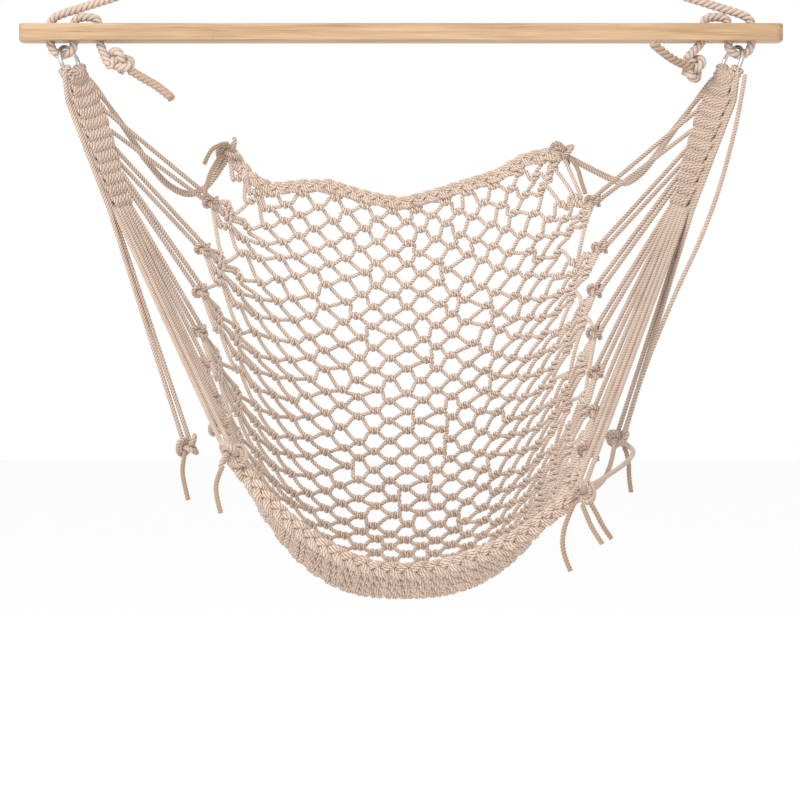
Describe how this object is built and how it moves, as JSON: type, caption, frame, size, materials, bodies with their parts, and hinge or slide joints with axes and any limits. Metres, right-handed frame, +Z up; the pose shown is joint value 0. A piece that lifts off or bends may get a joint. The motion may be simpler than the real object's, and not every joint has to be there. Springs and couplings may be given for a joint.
{
  "type": "rope hammock",
  "caption": "hanging rope chair: knotted net seat slung by woven clews from steel rings under a wooden spreader bar on a thick rope with a hang ring",
  "frame": {"origin": "where the ceiling hook bears, at the inner top of the hang ring", "axes": "+X along the spreader bar, +Y from the open front to the backrest, +Z up"},
  "size_m": [1.016, 0.5512, 0.9985],
  "materials": {
    "ring_steel": "polished",
    "bar_wood": "satin",
    "thick_rope": "matte",
    "cord_rope": "matte",
    "net_rope": "matte"
  },
  "bodies": {
    "hook_ring": {"hang_ring": "ring_steel"},
    "bar": {"hang_rope_left": "thick_rope", "hang_rope_right": "thick_rope", "rope_tail_left": "thick_rope", "rope_tail_right": "thick_rope", "spreader_bar": "bar_wood", "stopper_knot_left": "thick_rope", "stopper_knot_right": "thick_rope", "top_hitch": "thick_rope"},
    "seat": {"back_braid": "cord_rope", "back_knot_left": "cord_rope", "back_knot_right": "cord_rope", "clew_cord_left_01": "cord_rope", "clew_cord_left_02": "cord_rope", "clew_cord_left_03": "cord_rope", "clew_cord_left_04": "cord_rope", "clew_cord_left_05": "cord_rope", "clew_cord_left_06": "cord_rope", "clew_cord_left_07": "cord_rope", "clew_cord_left_08": "cord_rope", "clew_cord_left_09": "cord_rope", "clew_cord_left_10": "cord_rope", "clew_cord_right_01": "cord_rope", "clew_cord_right_02": "cord_rope", "clew_cord_right_03": "cord_rope", "clew_cord_right_04": "cord_rope", "clew_cord_right_05": "cord_rope", "clew_cord_right_06": "cord_rope", "clew_cord_right_07": "cord_rope", "clew_cord_right_08": "cord_rope", "clew_cord_right_09": "cord_rope", "clew_cord_right_10": "cord_rope", "clew_head_left": "cord_rope", "clew_head_right": "cord_rope", "clew_weave_left": "cord_rope", "clew_weave_right": "cord_rope", "corner_loop_right": "cord_rope", "corner_strand_right": "cord_rope", "front_braid": "cord_rope", "front_knot_left": "cord_rope", "front_knot_right": "cord_rope", "loose_end_back_left_1": "cord_rope", "loose_end_back_left_2": "cord_rope", "loose_end_back_right": "cord_rope", "loose_end_front_left_1": "cord_rope", "loose_end_front_left_2": "cord_rope", "loose_end_front_right_1": "cord_rope", "loose_end_front_right_2": "cord_rope", "loose_end_front_right_3": "cord_rope", "loose_end_front_right_4": "cord_rope", "net_back_lower": "net_rope", "net_back_upper": "net_rope", "net_seat_front": "net_rope", "net_seat_rear": "net_rope", "side_knots_left": "cord_rope", "side_knots_right": "cord_rope", "side_ring_left": "ring_steel", "side_ring_right": "ring_steel", "stray_cord_right": "cord_rope"}
  },
  "joints": [
    {"name": "chair_swing", "type": "hinge", "parent": "hook_ring", "child": "bar", "pos_m": [0, 0, -0.052], "axis": [1, 0, 0], "range_deg": [-30, 30]},
    {"name": "seat_swing", "type": "hinge", "parent": "bar", "child": "seat", "pos_m": [0, 0, -0.26697], "axis": [1, 0, 0], "range_deg": [-20, 20]}
  ]
}
